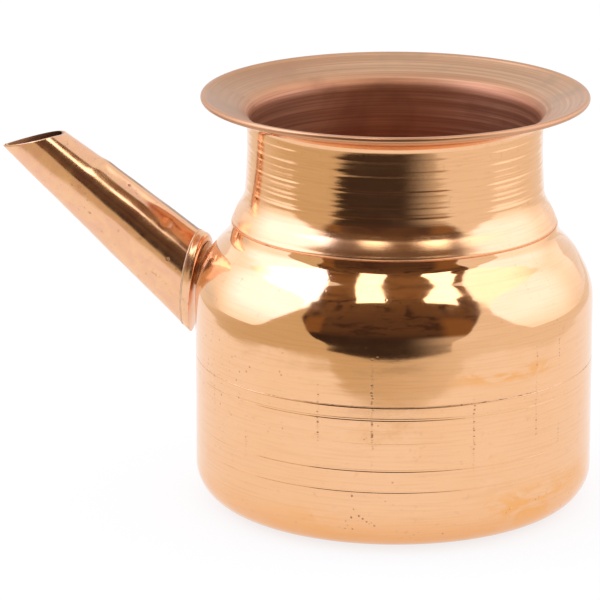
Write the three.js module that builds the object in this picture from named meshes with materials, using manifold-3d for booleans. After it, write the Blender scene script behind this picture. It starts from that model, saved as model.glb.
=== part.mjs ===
// Spouted copper water pot (lota with a pouring spout), raised and brazed from sheet.
// Millimetres, +Z up. Origin: centre of the flat base, on the surface it stands on.
// The spout points along -X.
import * as THREE from 'three';
import { mergeVertices } from 'three/addons/utils/BufferGeometryUtils.js';
import Module from 'manifold-3d';

const wasm = await Module();
wasm.setup();

// ---- driving dimensions ----------------------------------------------------
const BODY_R = 50.0;          // outer radius of the straight wall
const SHEET = 0.8;            // sheet thickness
const GAP = 0.3;              // brazing clearance between pieces
const BASE_CORNER = 9.3;      // outer radius of the base corner
const SEAM_Z = 37.6;          // height of the belly seam
const LAP = 4.2;              // height of the lap behind the belly seam
const BAND_Z = 71.6;          // underside of the collar band, where the shoulder ends
const RIM_Z = 104.1;          // top of the rim
const RIM_R = 48.45;          // outer radius of the rim
const HEM = 1.5;              // thickness of the turned-over lip
const TURN_SEG = 48;          // facets round the pot

// spout, in the X-Z plane
const TIP = new THREE.Vector3(-95.95, 0, 85.85);   // centre of the mouth of the spout
const ROOT = new THREE.Vector3(-52.35, 0, 51.9);   // centre of its wide end
const TIP_R = 7.2;            // half height of the section at the tip
const ROOT_R = 11.2;          // half height of the section at the wide end
const FLAT = 0.82;            // width of the section over its height
const CREASE = 0.42;          // how far the underside is pinched towards the seam
const TIP_DIP = 15.6;         // degrees, the mouth dips outwards
const ROOT_LEAN = -10.0;      // degrees, lean of the wide end
const SEAM_HALF = 0.085;      // half angle (radians/pi) left open for the long seam
const SKIRT = 2.2;            // how far the end cap laps over the tube
const CAP_WALL = 0.5;         // thickness of the cap's drawn skirt

// collar between spout and shoulder
const COLLAR_AT = new THREE.Vector3(-49.4, 0, 55.4);
const COLLAR_TILT = 18;       // degrees above horizontal, outwards
const COLLAR_R = 4.8;         // outer radius
const COLLAR_IN = 3.6;        // reach inside the shoulder
const COLLAR_OUT = 4.0;       // reach into the spout
const FILLET = 2.4;           // width of the braze round the collar

// ---- materials ---------------------------------------------------------------
const copper = () => new THREE.MeshStandardMaterial({ color: 0xe0a070, roughness: 0.18, metalness: 1 });
const satin = () => new THREE.MeshStandardMaterial({ color: 0xc98f62, roughness: 0.34, metalness: 1 });
const braze = () => new THREE.MeshStandardMaterial({ color: 0xb98a56, roughness: 0.45, metalness: 1 });

// ---- helpers -----------------------------------------------------------------
const rad = THREE.MathUtils.degToRad;

function strip(geometry) {
  const g = geometry.clone();
  g.deleteAttribute('normal');
  g.deleteAttribute('uv');
  return mergeVertices(g, 1e-4);
}

function toManifold(geometry) {
  const g = strip(geometry);
  return new wasm.Manifold(new wasm.Mesh({
    numProp: 3,
    vertProperties: new Float32Array(g.attributes.position.array),
    triVerts: new Uint32Array(g.index.array),
  }));
}

function fromManifold(solid) {
  const m = solid.getMesh();
  const pos = new Float32Array((m.vertProperties.length / m.numProp) * 3);
  for (let i = 0; i < pos.length / 3; i++) {
    for (let k = 0; k < 3; k++) pos[3 * i + k] = m.vertProperties[i * m.numProp + k];
  }
  const g = new THREE.BufferGeometry();
  g.setAttribute('position', new THREE.BufferAttribute(pos, 3));
  g.setIndex(new THREE.BufferAttribute(new Uint32Array(m.triVerts), 1));
  g.computeVertexNormals();
  return g;
}

// signed volume, used to turn a mesh the right way out
function volume(g) {
  const p = g.attributes.position, ix = g.index.array;
  let v = 0;
  const a = new THREE.Vector3(), b = new THREE.Vector3(), c = new THREE.Vector3();
  for (let i = 0; i < ix.length; i += 3) {
    a.fromBufferAttribute(p, ix[i]); b.fromBufferAttribute(p, ix[i + 1]); c.fromBufferAttribute(p, ix[i + 2]);
    v += a.dot(b.cross(c)) / 6;
  }
  return v;
}

function outward(g) {
  if (volume(g) < 0) {
    const ix = g.index.array;
    for (let i = 0; i < ix.length; i += 3) { const t = ix[i]; ix[i] = ix[i + 1]; ix[i + 1] = t; }
  }
  g.computeVertexNormals();
  return g;
}

// turned solid about Z from a closed list of [radius, height] points
function turned(points, segments = TURN_SEG) {
  const profile = points.map(([r, z]) => new THREE.Vector2(r, z));
  const onAxis = points[0][0] === 0 && points[points.length - 1][0] === 0;
  if (!onAxis) profile.push(profile[0].clone());
  const lathe = new THREE.LatheGeometry(profile, segments);
  lathe.rotateX(Math.PI / 2);
  return outward(strip(lathe));
}

// ring by ring loft: rings is a list of equally long point lists, closed both ways
function loft(rings, closeRound, poles) {
  const pos = [], ix = [];
  const n = rings[0].length, m = rings.length;
  for (const ring of rings) for (const p of ring) pos.push(p.x, p.y, p.z);
  const at = (i, j) => i * n + (j % n);
  const lastI = poles ? m - 1 : m;
  for (let i = 0; i < lastI; i++) {
    const i2 = (i + 1) % m;
    for (let j = 0; j < (closeRound ? n : n - 1); j++) {
      ix.push(at(i, j), at(i2, j), at(i, j + 1), at(i, j + 1), at(i2, j), at(i2, j + 1));
    }
  }
  if (poles) {
    const [p0, p1] = poles;
    const a = pos.length / 3;
    pos.push(p0.x, p0.y, p0.z, p1.x, p1.y, p1.z);
    for (let j = 0; j < n; j++) {
      ix.push(a, at(0, j), at(0, j + 1));
      ix.push(a + 1, at(m - 1, j + 1), at(m - 1, j));
    }
  } else if (!closeRound) {
    // flat ends across the ring section
    for (let i = 1; i < m - 1; i++) {
      ix.push(at(0, 0), at(i + 1, 0), at(i, 0));
      ix.push(at(0, n - 1), at(i, n - 1), at(i + 1, n - 1));
    }
  }
  const g = new THREE.BufferGeometry();
  g.setAttribute('position', new THREE.BufferAttribute(new Float32Array(pos), 3));
  g.setIndex(ix);
  return outward(g);
}

// ---- the vessel ----------------------------------------------------------------
// rounded base corner, outer and inner
function corner(cx, cz, r, from, to, steps) {
  const out = [];
  for (let i = 0; i <= steps; i++) {
    const a = rad(from + ((to - from) * i) / steps);
    out.push([cx + r * Math.cos(a), cz + r * Math.sin(a)]);
  }
  return out;
}

const tongueR = BODY_R - SHEET - GAP;       // outer radius of the lap tongue
const lowerCup = turned([
  [0, 0],
  ...corner(BODY_R - BASE_CORNER, BASE_CORNER, BASE_CORNER, -90, 0, 5),
  [BODY_R, SEAM_Z - 0.5],
  [tongueR, SEAM_Z - 0.5],
  [tongueR, SEAM_Z + LAP],
  [tongueR - SHEET, SEAM_Z + LAP],
  [tongueR - SHEET, SEAM_Z - 1.3],
  [BODY_R - SHEET, SEAM_Z - 2.4],
  ...corner(BODY_R - BASE_CORNER, BASE_CORNER, BASE_CORNER - SHEET, 0, -90, 5),
  [0, SHEET],
]);

// shoulder: straight wall above the seam, then the rounded shoulder
const shoulderOuter = [
  [BODY_R, SEAM_Z + 0.5],
  [BODY_R, 51.2],
  [49.88, 54.3],
  [49.4, 56.5],
  [48.62, 58.7],
  [47.5, 61.0],
  [46.0, 63.6],
  [44.6, 65.35],
  [43.2, 66.8],
  [42.0, 68.25],
  [41.25, 69.7],
  [40.95, BAND_Z - 0.4],
];
const shoulderInner = shoulderOuter.map(([r, z], i, all) => {
  const a = all[Math.max(i - 1, 0)], b = all[Math.min(i + 1, all.length - 1)];
  const dx = b[0] - a[0], dz = b[1] - a[1], l = Math.hypot(dx, dz);
  return [r - (SHEET * dz) / l, z + (SHEET * dx) / l];
}).reverse();
shoulderInner[0] = [40.15, BAND_Z - 0.4];
const shoulderSolid = turned([...shoulderOuter, ...shoulderInner]);

// neck with the collar band, the flared mouth and its turned-over lip
const neckOuter = [
  [39.75, 68.3],
  [39.75, BAND_Z + 0.35],
  [40.6, BAND_Z + 0.35],
  [40.36, 72.6],
  [40.05, 73.4],
  [39.7, 74.2],
  [39.38, 74.8],
  [38.68, 76.0],
  [38.0, 77.4],
  [37.72, 78.2],
  [37.5, 79.0],
  [37.3, 80.6],
  [37.1, 83.5],
  [36.95, 87.0],
  [36.95, 96.0],
  [37.05, 97.5],
  [37.45, 98.6],
  [38.6, 99.5],
  [40.9, 100.4],
  [43.6, 101.3],
  [46.4, RIM_Z - HEM - 0.5],
  [47.75, RIM_Z - HEM - 0.05],
  [RIM_R, RIM_Z - HEM * 0.62],
  [RIM_R - 0.05, RIM_Z - 0.35],
  [47.8, RIM_Z],
];
const neckInner = [
  [46.7, RIM_Z - 0.35],
  [44.0, 102.4],
  [41.0, 101.3],
  [38.7, 100.35],
  [37.0, 99.2],
  [36.3, 97.7],
  [36.15, 95.8],
  [36.15, 87.0],
  [36.3, 83.5],
  [36.5, 80.6],
  [36.7, 79.0],
  [37.2, 77.3],
  [37.8, 76.0],
  [38.5, 74.7],
  [39.05, 73.6],
  [39.3, 72.7],
  [38.95, 71.6],
  [38.95, 68.3],
];
const neckSolid = turned([...neckOuter, ...neckInner]);

// brazed seams of the vessel
const bodySeam = turned([
  [tongueR + GAP, SEAM_Z - 0.2],
  [BODY_R + 0.05, SEAM_Z - 0.2],
  [BODY_R + 0.3, SEAM_Z],
  [BODY_R + 0.05, SEAM_Z + 0.2],
  [tongueR + GAP, SEAM_Z + 0.2],
]);
const neckSeam = turned([
  [40.1, BAND_Z - 0.1],
  [40.75, BAND_Z - 0.1],
  [40.88, BAND_Z],
  [40.75, BAND_Z + 0.08],
  [40.1, BAND_Z + 0.08],
]);

// ---- the spout ---------------------------------------------------------------------
const axisU = ROOT.clone().sub(TIP);
const SPOUT_LEN = axisU.length();
axisU.normalize();
const sideE = new THREE.Vector3(0, 1, 0);
const upW = new THREE.Vector3().crossVectors(axisU, sideE).normalize();
if (upW.z < 0) upW.negate();
const tipN = new THREE.Vector3(-Math.sin(rad(TIP_DIP)), 0, Math.cos(rad(TIP_DIP)));
const rootN = new THREE.Vector3(Math.cos(rad(ROOT_LEAN)), 0, Math.sin(rad(ROOT_LEAN)));

// point on the cone at section angle phi (0 at the top), pushed out by d,
// on the plane through `at` with normal `n`
function onCone(phi, d, at, n) {
  const pinch = 1 - CREASE * Math.pow((1 - Math.cos(phi)) / 2, 2);
  const dir = upW.clone().multiplyScalar(Math.cos(phi))
    .addScaledVector(sideE, FLAT * Math.sin(phi) * pinch);
  const k = (ROOT_R - TIP_R) / SPOUT_LEN;
  const start = TIP.clone().addScaledVector(dir, TIP_R + d);
  const step = axisU.clone().addScaledVector(dir, k);
  const s = at.clone().sub(start).dot(n) / step.dot(n);
  return start.addScaledVector(step, s);
}

const ROUND = 40;
const open = Math.PI * SEAM_HALF;
const arc = Array.from({ length: ROUND + 1 }, (_, i) =>
  -(Math.PI - open) + (2 * (Math.PI - open) * i) / ROUND);
const rootEnd = ROOT;
const tubeRings = [
  arc.map((a) => onCone(a, 0, TIP, tipN)),
  arc.map((a) => onCone(a, 0, rootEnd, rootN)),
  arc.map((a) => onCone(a, -SHEET, rootEnd, rootN)),
  arc.map((a) => onCone(a, -SHEET, TIP, tipN)),
];
const spoutTube = loft(tubeRings, false);

// filler metal in the long seam under the spout
const seamArc = [-0.62, 0, 0.62].map((f) => Math.PI + f * open);
const seamTipAt = TIP.clone().addScaledVector(axisU, 0.4);
const seamRootAt = rootEnd.clone();
const seamRings = [
  seamArc.map((a) => onCone(a, 0.15, seamTipAt, tipN)),
  seamArc.map((a) => onCone(a, 0.15, seamRootAt, rootN)),
  seamArc.map((a) => onCone(a, -SHEET - 0.1, seamRootAt, rootN)),
  seamArc.map((a) => onCone(a, -SHEET - 0.1, seamTipAt, tipN)),
];
const spoutSeam = loft(seamRings, false);

// collar cutter and collar
const collarDir = new THREE.Vector3(-Math.cos(rad(COLLAR_TILT)), 0, Math.sin(rad(COLLAR_TILT)));
function along(geometry, from, to) {
  // cylinder or ring about +Y, moved to run along the collar axis from..to
  geometry.translate(0, (from + to) / 2, 0);
  geometry.applyQuaternion(new THREE.Quaternion().setFromUnitVectors(new THREE.Vector3(0, 1, 0), collarDir));
  geometry.translate(COLLAR_AT.x, COLLAR_AT.y, COLLAR_AT.z);
  return geometry;
}
const rod = (r, from, to, seg = 32) => toManifold(along(new THREE.CylinderGeometry(r, r, to - from, seg), from, to));
const collarHole = rod(COLLAR_R + GAP, -14, 14);
const collarSolid = fromManifold(
  rod(COLLAR_R, -COLLAR_IN, COLLAR_OUT).subtract(rod(COLLAR_R - SHEET, -20, 20)));

// pressed cap over the wide end of the tube
const full = Array.from({ length: ROUND }, (_, i) => (2 * Math.PI * i) / ROUND);
const capPlane = (k) => rootEnd.clone().addScaledVector(rootN, k);
const capRing = (d, k) => full.map((a) => onCone(a, d, capPlane(k), rootN));
const capRings = [
  capRing(GAP, GAP),
  capRing(GAP, -SKIRT),
  capRing(GAP + CAP_WALL * 0.6, -SKIRT - 0.1),
  capRing(GAP + CAP_WALL, -SKIRT + 0.35),
  capRing(GAP + CAP_WALL, 0.5),
  capRing(GAP + CAP_WALL * 0.5, GAP + SHEET),
];
const capBody = loft(capRings, true, [capPlane(GAP), capPlane(GAP + SHEET)]);
const capSolid = fromManifold(toManifold(capBody).subtract(collarHole));

// braze fillet at the edge of the cap's skirt
const capBraze = loft([
  capRing(0.3, -SKIRT - 0.45),
  capRing(0.72, -SKIRT - 0.45),
  capRing(0.58, -SKIRT - 1.0),
  capRing(0.3, -SKIRT - 1.5),
], true);

// shoulder with the hole for the collar
const shoulder = fromManifold(toManifold(shoulderSolid).subtract(collarHole));

// braze between shoulder, collar and cap
const swollen = turned([
  [0, 40], ...shoulderOuter.map(([r, z], i, all) => {
    const a = all[Math.max(i - 1, 0)], b = all[Math.min(i + 1, all.length - 1)];
    const dx = b[0] - a[0], dz = b[1] - a[1], l = Math.hypot(dx, dz);
    return [r + (0.36 * dz) / l, z - (0.36 * dx) / l];
  }), [0, 70],
]);
const behindCap = (() => {
  const g = new THREE.BoxGeometry(60, 60, 60);
  g.applyQuaternion(new THREE.Quaternion().setFromUnitVectors(new THREE.Vector3(-1, 0, 0), rootN.clone().negate()));
  g.translate(...capPlane(GAP + SHEET + 0.3).addScaledVector(rootN, -30).toArray());
  return toManifold(g);
})();
const filletBlank = toManifold(along(new THREE.CylinderGeometry(COLLAR_R + 1.2, COLLAR_R + FILLET, 8, 32), -4, 4));
const collarBrazeAll = filletBlank.subtract(collarHole).subtract(toManifold(swollen)).subtract(behindCap);
const collarBraze = fromManifold(collarBrazeAll.decompose()
  .sort((a, b) => b.volume() - a.volume())[0]);

// ---- assembly -----------------------------------------------------------------------
const lota = new THREE.Group();
function add(name, geometry, material, parent = lota) {
  const mesh = new THREE.Mesh(geometry, material);
  mesh.name = name;
  parent.add(mesh);
  return mesh;
}

const vessel = new THREE.Group();
const spout = new THREE.Group();
lota.add(vessel, spout);

add('lower_cup', lowerCup, copper(), vessel);
add('shoulder_shell', shoulder, copper(), vessel);
add('neck_and_mouth', neckSolid, copper(), vessel);
add('body_seam_braze', bodySeam, braze(), vessel);
add('neck_seam_braze', neckSeam, braze(), vessel);
add('spout_tube', spoutTube, copper(), spout);
add('spout_seam_braze', spoutSeam, braze(), spout);
add('spout_end_cap', capSolid, satin(), spout);
add('spout_cap_braze', capBraze, braze(), spout);
add('spout_collar', collarSolid, satin(), spout);
add('collar_braze', collarBraze, braze(), spout);

export default lota;
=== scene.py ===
import math

import bpy
import numpy as np
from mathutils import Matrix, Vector


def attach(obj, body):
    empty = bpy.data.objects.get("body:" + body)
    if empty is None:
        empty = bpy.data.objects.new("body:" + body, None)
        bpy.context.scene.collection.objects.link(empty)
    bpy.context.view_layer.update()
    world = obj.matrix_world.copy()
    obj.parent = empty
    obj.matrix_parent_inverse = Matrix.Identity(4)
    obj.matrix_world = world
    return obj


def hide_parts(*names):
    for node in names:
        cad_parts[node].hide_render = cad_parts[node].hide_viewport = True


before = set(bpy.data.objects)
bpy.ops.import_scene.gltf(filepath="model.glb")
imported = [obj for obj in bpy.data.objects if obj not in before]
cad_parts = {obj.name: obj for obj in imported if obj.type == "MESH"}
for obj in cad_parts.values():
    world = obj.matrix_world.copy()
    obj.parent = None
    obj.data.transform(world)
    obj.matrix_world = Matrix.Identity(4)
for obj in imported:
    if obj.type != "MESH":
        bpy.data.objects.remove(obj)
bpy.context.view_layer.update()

MM = 0.001
R = 50.0            # body radius, mm
VIEW_TURN = 16.5    # degrees the camera stands round from the front, towards +X
RNG = np.random.default_rng(7)

FLARE_DARK, FLARE_LIGHT = (0.50, 0.285, 0.165), (0.68, 0.41, 0.255)
THROAT_DARK, THROAT_LIGHT = (0.42, 0.185, 0.10), (0.62, 0.31, 0.175)


# ---------------------------------------------------------------- mesh helpers
def mesh_object(name, verts, faces, sharp=38.0):
    me = bpy.data.meshes.new(name)
    me.from_pydata([tuple(v) for v in verts], [], faces)
    me.validate()
    me.update()
    for p in me.polygons:
        p.use_smooth = True
    me.set_sharp_from_angle(angle=math.radians(sharp))
    ob = bpy.data.objects.new(name, me)
    bpy.context.scene.collection.objects.link(ob)
    return ob


def signed_volume(verts, faces):
    v = np.asarray(verts, float)
    total = 0.0
    for f in faces:
        a = v[f[0]]
        for i in range(1, len(f) - 1):
            total += float(np.dot(a, np.cross(v[f[i]], v[f[i + 1]])))
    return total / 6.0


def grid_object(name, rings, round_closed=True, ring_closed=True, poles=None, sharp=38.0):
    """rings: array (m, n, 3) in mm. ring index runs along the section, j runs round."""
    rings = np.asarray(rings, float) * MM
    m, n, _ = rings.shape
    verts = rings.reshape(-1, 3).tolist()
    faces = []
    top = m if ring_closed else m - 1
    side = n if round_closed else n - 1
    for i in range(top):
        i2 = (i + 1) % m
        for j in range(side):
            j2 = (j + 1) % n
            faces.append((i * n + j, i2 * n + j, i2 * n + j2, i * n + j2))
    if poles is not None:
        a = len(verts)
        verts.append((np.asarray(poles[0], float) * MM).tolist())
        verts.append((np.asarray(poles[1], float) * MM).tolist())
        for j in range(n):
            j2 = (j + 1) % n
            faces.append((a, j, j2))
            faces.append((a + 1, (m - 1) * n + j2, (m - 1) * n + j))
    elif not round_closed:
        faces.append(tuple(i * n for i in range(m))[::-1])
        faces.append(tuple(i * n + n - 1 for i in range(m)))
    if signed_volume(verts, faces) < 0:
        faces = [f[::-1] for f in faces]
    return mesh_object(name, verts, faces, sharp)


def catmull(points, step):
    """Smooth dense curve through the points, about `step` mm between samples."""
    p = np.asarray(points, float)
    ext = np.vstack([2 * p[0] - p[1], p, 2 * p[-1] - p[-2]])
    out = []
    for i in range(1, len(ext) - 2):
        p0, p1, p2, p3 = ext[i - 1], ext[i], ext[i + 1], ext[i + 2]
        t0 = 0.0
        t1 = t0 + max(np.linalg.norm(p1 - p0), 1e-6) ** 0.5
        t2 = t1 + max(np.linalg.norm(p2 - p1), 1e-6) ** 0.5
        t3 = t2 + max(np.linalg.norm(p3 - p2), 1e-6) ** 0.5
        k = max(1, int(round(np.linalg.norm(p2 - p1) / step)))
        for t in np.linspace(t1, t2, k, endpoint=False):
            a1 = (t1 - t) / (t1 - t0) * p0 + (t - t0) / (t1 - t0) * p1
            a2 = (t2 - t) / (t2 - t1) * p1 + (t - t1) / (t2 - t1) * p2
            a3 = (t3 - t) / (t3 - t2) * p2 + (t - t2) / (t3 - t2) * p3
            b1 = (t2 - t) / (t2 - t0) * a1 + (t - t0) / (t2 - t0) * a2
            b2 = (t3 - t) / (t3 - t1) * a2 + (t - t1) / (t3 - t1) * a3
            out.append((t2 - t) / (t2 - t1) * b1 + (t - t1) / (t2 - t1) * b2)
    out.append(p[-1])
    return np.array(out)


def normals2(curve):
    d = np.gradient(curve, axis=0)
    d /= np.maximum(np.linalg.norm(d, axis=1, keepdims=True), 1e-9)
    return np.stack([d[:, 1], -d[:, 0]], 1)   # to the right of travel: outwards when going up


def noise1(x, wavelength, seed):
    """Smooth value noise along one axis, -1..1."""
    g = np.random.default_rng(seed).uniform(-1, 1, 4096)
    t = np.asarray(x, float) / wavelength + 100.0
    i = np.floor(t).astype(int)
    f = t - i
    f = f * f * (3 - 2 * f)
    return g[i % 4096] * (1 - f) + g[(i + 1) % 4096] * f


def lathe(name, section, segments=288, wobble=None, sharp=38.0):
    """Closed body of revolution from a closed list of (r, z) points in mm."""
    s = np.asarray(section, float)
    a = np.linspace(0, 2 * math.pi, segments, endpoint=False)
    r = s[:, 0][:, None] * np.ones_like(a)[None, :]
    z = s[:, 1][:, None] * np.ones_like(a)[None, :]
    if wobble is not None:
        dr, dz = wobble(r, z, a[None, :])
        r = r + dr
        z = z + dz
    rings = np.stack([r * np.cos(a), r * np.sin(a), z], 2)
    return grid_object(name, rings, True, True, sharp=sharp)


def lathe_axis(name, section, segments=288, sharp=38.0):
    """Body of revolution whose open section starts and ends on the axis."""
    s = np.asarray(section, float)
    a = np.linspace(0, 2 * math.pi, segments, endpoint=False)
    inner = s[1:-1]
    r = inner[:, 0][:, None] * np.ones_like(a)[None, :]
    z = inner[:, 1][:, None] * np.ones_like(a)[None, :]
    rings = np.stack([r * np.cos(a), r * np.sin(a), z], 2)
    return grid_object(name, rings, True, False, poles=[(0, 0, s[0, 1]), (0, 0, s[-1, 1])], sharp=sharp)


# ---------------------------------------------------------------- materials
def new_material(name):
    m = bpy.data.materials.new(name)
    m.use_nodes = True
    nt = m.node_tree
    for n in list(nt.nodes):
        nt.nodes.remove(n)
    out = nt.nodes.new("ShaderNodeOutputMaterial")
    bsdf = nt.nodes.new("ShaderNodeBsdfPrincipled")
    nt.links.new(bsdf.outputs[0], out.inputs["Surface"])
    bsdf.inputs["Metallic"].default_value = 1.0
    return m, nt, bsdf


class Nodes:
    def __init__(self, nt):
        self.nt = nt
        self.coord = nt.nodes.new("ShaderNodeTexCoord").outputs["Object"]

    def link(self, a, b):
        self.nt.links.new(a, b)

    def math(self, op, a, b=None, c=None, clamp=False):
        n = self.nt.nodes.new("ShaderNodeMath")
        n.operation = op
        n.use_clamp = clamp
        for k, v in enumerate((a, b, c)):
            if v is None:
                continue
            if isinstance(v, (int, float)):
                n.inputs[k].default_value = v
            else:
                self.link(v, n.inputs[k])
        return n.outputs[0]

    def xyz(self, vec=None):
        n = self.nt.nodes.new("ShaderNodeSeparateXYZ")
        self.link(vec or self.coord, n.inputs[0])
        return n.outputs[0], n.outputs[1], n.outputs[2]

    def combine(self, x, y, z):
        n = self.nt.nodes.new("ShaderNodeCombineXYZ")
        for k, v in enumerate((x, y, z)):
            if isinstance(v, (int, float)):
                n.inputs[k].default_value = v
            else:
                self.link(v, n.inputs[k])
        return n.outputs[0]

    def mapping(self, vec, scale=(1, 1, 1), loc=(0, 0, 0), rot=(0, 0, 0)):
        n = self.nt.nodes.new("ShaderNodeMapping")
        self.link(vec, n.inputs[0])
        n.inputs["Location"].default_value = loc
        n.inputs["Rotation"].default_value = rot
        n.inputs["Scale"].default_value = scale
        return n.outputs[0]

    def noise(self, vec, scale, detail=2.0, rough=0.5, distortion=0.0):
        n = self.nt.nodes.new("ShaderNodeTexNoise")
        self.link(vec, n.inputs["Vector"])
        n.inputs["Scale"].default_value = scale
        n.inputs["Detail"].default_value = detail
        n.inputs["Roughness"].default_value = rough
        n.inputs["Distortion"].default_value = distortion
        return n.outputs[0]

    def voronoi(self, vec, scale, feature="F1", dims="3D", rnd=1.0):
        n = self.nt.nodes.new("ShaderNodeTexVoronoi")
        n.voronoi_dimensions = dims
        n.feature = feature
        if dims == "1D":
            self.link(vec, n.inputs["W"])
        else:
            self.link(vec, n.inputs["Vector"])
        n.inputs["Scale"].default_value = scale
        n.inputs["Randomness"].default_value = rnd
        return n

    def ramp(self, fac, stops, interp="LINEAR"):
        n = self.nt.nodes.new("ShaderNodeValToRGB")
        n.color_ramp.interpolation = interp
        els = n.color_ramp.elements
        while len(els) < len(stops):
            els.new(0.5)
        for e, (p, c) in zip(els, stops):
            e.position = p
            e.color = c if len(c) == 4 else (*c, 1.0)
        self.link(fac, n.inputs[0])
        return n.outputs[0]

    def range(self, v, a, b, c=0.0, d=1.0, smooth=True):
        n = self.nt.nodes.new("ShaderNodeMapRange")
        n.interpolation_type = "SMOOTHSTEP" if smooth else "LINEAR"
        n.clamp = True
        self.link(v, n.inputs["Value"])
        n.inputs["From Min"].default_value = a
        n.inputs["From Max"].default_value = b
        n.inputs["To Min"].default_value = c
        n.inputs["To Max"].default_value = d
        return n.outputs[0]

    def mix(self, fac, a, b, blend="MIX"):
        n = self.nt.nodes.new("ShaderNodeMix")
        n.data_type = "RGBA"
        n.blend_type = blend
        n.clamp_factor = True
        if isinstance(fac, (int, float)):
            n.inputs[0].default_value = fac
        else:
            self.link(fac, n.inputs[0])
        for k, v in ((6, a), (7, b)):
            if isinstance(v, tuple):
                n.inputs[k].default_value = v if len(v) == 4 else (*v, 1.0)
            else:
                self.link(v, n.inputs[k])
        return n.outputs[2]

    def bump(self, height, distance, strength=1.0, normal=None):
        n = self.nt.nodes.new("ShaderNodeBump")
        n.inputs["Strength"].default_value = strength
        n.inputs["Distance"].default_value = distance
        self.link(height, n.inputs["Height"])
        if normal is not None:
            self.link(normal, n.inputs["Normal"])
        return n.outputs[0]


COPPER = (0.905, 0.515, 0.272)
COPPER_PINK = (0.915, 0.535, 0.300)
TARNISH = (0.89, 0.44, 0.165)

# columns of pits up the sheet, degrees round the pot
COLUMNS = (-137.3, -121.2, -96.3, -80.7, -51.7, -30.4, -20.3, 14.0, 52.0, 88.0, 121.0, 163.0)


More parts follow.
